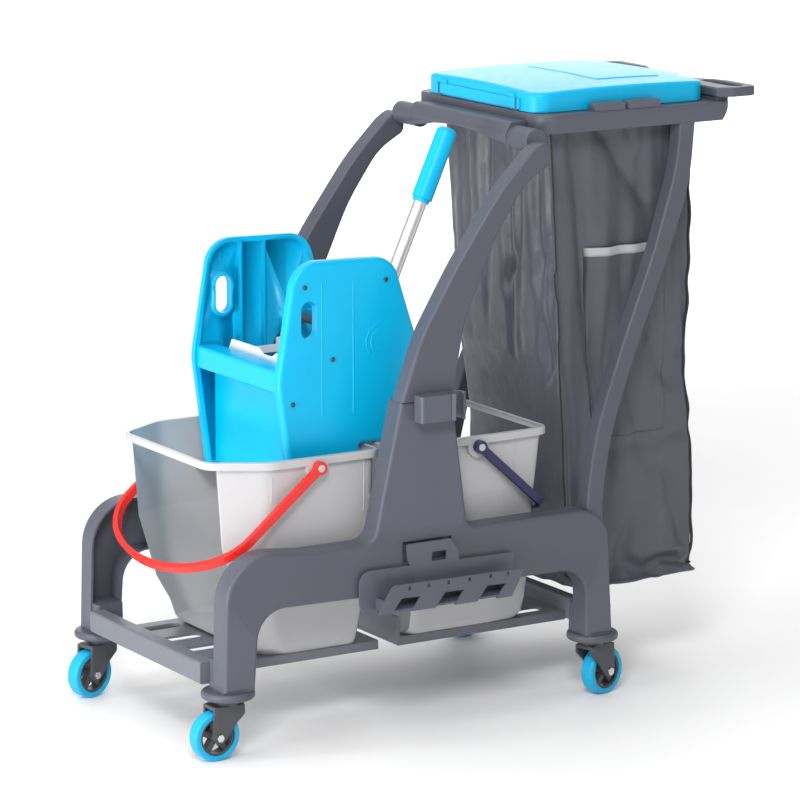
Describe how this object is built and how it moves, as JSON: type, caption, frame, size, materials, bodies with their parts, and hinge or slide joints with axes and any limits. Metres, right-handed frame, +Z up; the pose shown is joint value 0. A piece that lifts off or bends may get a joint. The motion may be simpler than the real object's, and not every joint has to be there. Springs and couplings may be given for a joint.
{
  "type": "housekeeping cart",
  "caption": "Twin-bucket mopping trolley on casters with a press wringer, lidded waste bag, push handle, side tool racks and mop clips.",
  "frame": {"origin": "middle of the cart's footprint on the floor", "axes": "+X from the front bucket towards the push handle, +Y to the right of a person pushing the cart forwards (towards -X), +Z up; floor at z = 0"},
  "size_m": [1.0936, 0.576, 1.017],
  "materials": {
    "frame_grey": "fine moulded texture",
    "beam_grey": "smooth",
    "bucket_grey": "satin",
    "sky_blue": "satin gloss",
    "red": "gloss",
    "navy": "gloss",
    "tyre_blue": "satin",
    "dark_grey": "moulded texture",
    "steel": "bright",
    "aluminium": "satin",
    "bag_fabric": "coated woven",
    "white": "satin"
  },
  "bodies": {
    "cart": {"left_side_frame": "frame_grey", "right_side_frame": "frame_grey", "front_cross_beam": "beam_grey", "rear_cross_beam": "beam_grey", "front_tray": "beam_grey", "rear_tray": "beam_grey", "front_left_bumper": "frame_grey", "front_right_bumper": "frame_grey", "rear_left_bumper": "frame_grey", "rear_right_bumper": "frame_grey", "left_upper_arm": "frame_grey", "right_upper_arm": "frame_grey", "arch_crossbar": "frame_grey", "left_rear_upright": "frame_grey", "right_rear_upright": "frame_grey", "bag_ring": "frame_grey", "push_handle": "frame_grey", "bag_clips": "frame_grey", "lid_hinge_pin": "steel", "left_tool_rack": "frame_grey", "right_tool_rack": "frame_grey", "left_mop_clip": "frame_grey", "right_mop_clip": "frame_grey", "bag": "bag_fabric", "bag_zip": "dark_grey", "bag_pocket": "bag_fabric", "rear_bucket": "bucket_grey"},
    "front_left_swivel": {"front_left_fork": "dark_grey", "front_left_axle": "steel"},
    "front_left_wheel": {"front_left_tread": "tyre_blue", "front_left_hub": "dark_grey"},
    "front_right_swivel": {"front_right_fork": "dark_grey", "front_right_axle": "steel"},
    "front_right_wheel": {"front_right_tread": "tyre_blue", "front_right_hub": "dark_grey"},
    "rear_left_swivel": {"rear_left_fork": "dark_grey", "rear_left_axle": "steel"},
    "rear_left_wheel": {"rear_left_tread": "tyre_blue", "rear_left_hub": "dark_grey"},
    "rear_right_swivel": {"rear_right_fork": "dark_grey", "rear_right_axle": "steel"},
    "rear_right_wheel": {"rear_right_tread": "tyre_blue", "rear_right_hub": "dark_grey"},
    "lid": {"lid": "sky_blue"},
    "front_bucket": {"front_bucket": "bucket_grey"},
    "front_bucket_handle": {"front_bucket_handle": "red"},
    "rear_bucket_handle": {"rear_bucket_handle": "navy"},
    "wringer": {"left_wringer_plate": "sky_blue", "right_wringer_plate": "sky_blue", "wringer_front_bar": "sky_blue", "wringer_basket": "sky_blue", "wringer_screws": "steel"},
    "press_plate": {"press_plate": "white"},
    "lever": {"lever_shaft": "dark_grey", "lever_tube": "aluminium", "lever_grip": "sky_blue"}
  },
  "joints": [
    {"name": "front_left_swivel", "type": "hinge", "parent": "cart", "child": "front_left_swivel", "pos_m": [-0.48172, -0.219, 0.09], "axis": [0, 0, 1], "continuous": true},
    {"name": "front_left_spin", "type": "hinge", "parent": "front_left_swivel", "child": "front_left_wheel", "pos_m": [-0.50672, -0.219, 0.04], "axis": [0, -1, 0], "continuous": true},
    {"name": "front_right_swivel", "type": "hinge", "parent": "cart", "child": "front_right_swivel", "pos_m": [-0.48172, 0.219, 0.09], "axis": [0, 0, 1], "continuous": true},
    {"name": "front_right_spin", "type": "hinge", "parent": "front_right_swivel", "child": "front_right_wheel", "pos_m": [-0.50592, 0.21274, 0.04], "axis": [0.2504, -0.9681, 0], "continuous": true},
    {"name": "rear_left_swivel", "type": "hinge", "parent": "cart", "child": "rear_left_swivel", "pos_m": [0.21128, -0.219, 0.09], "axis": [0, 0, 1], "continuous": true},
    {"name": "rear_left_spin", "type": "hinge", "parent": "rear_left_swivel", "child": "rear_left_wheel", "pos_m": [0.23548, -0.21274, 0.04], "axis": [-0.2504, 0.9681, 0], "continuous": true},
    {"name": "rear_right_swivel", "type": "hinge", "parent": "cart", "child": "rear_right_swivel", "pos_m": [0.21128, 0.219, 0.09], "axis": [0, 0, 1], "continuous": true},
    {"name": "rear_right_spin", "type": "hinge", "parent": "rear_right_swivel", "child": "rear_right_wheel", "pos_m": [0.23622, 0.22074, 0.04], "axis": [-0.0698, 0.9976, 0], "continuous": true},
    {"name": "lid_hinge", "type": "hinge", "parent": "cart", "child": "lid", "pos_m": [0.12678, 0, 0.99], "axis": [0, -1, 0], "range_deg": [0, 100]},
    {"name": "front_bucket_lift", "type": "slide", "parent": "cart", "child": "front_bucket", "axis": [0, 0, 1], "range_m": [0, 0.25]},
    {"name": "wringer_lift", "type": "slide", "parent": "front_bucket", "child": "wringer", "axis": [0, 0, 1], "range_m": [0, 0.3]},
    {"name": "front_bucket_handle_swing", "type": "hinge", "parent": "front_bucket", "child": "front_bucket_handle", "pos_m": [-0.30122, 0, 0.445], "axis": [0, 1, 0], "range_deg": [0, 110]},
    {"name": "rear_bucket_handle_swing", "type": "hinge", "parent": "cart", "child": "rear_bucket_handle", "pos_m": [0.00078, 0, 0.445], "axis": [0, -1, 0], "range_deg": [0, 140]},
    {"name": "lever_swing", "type": "hinge", "parent": "wringer", "child": "lever", "pos_m": [-0.15522, 0, 0.627], "axis": [0, -1, 0], "range_deg": [0, 70]},
    {"name": "press_slide", "type": "slide", "parent": "wringer", "child": "press_plate", "axis": [1, 0, 0], "range_m": [0, 0.0634]}
  ],
  "couplings": [
    {"joint": "press_slide", "follows": "lever_swing", "m_per_rad": 0.05164}
  ]
}
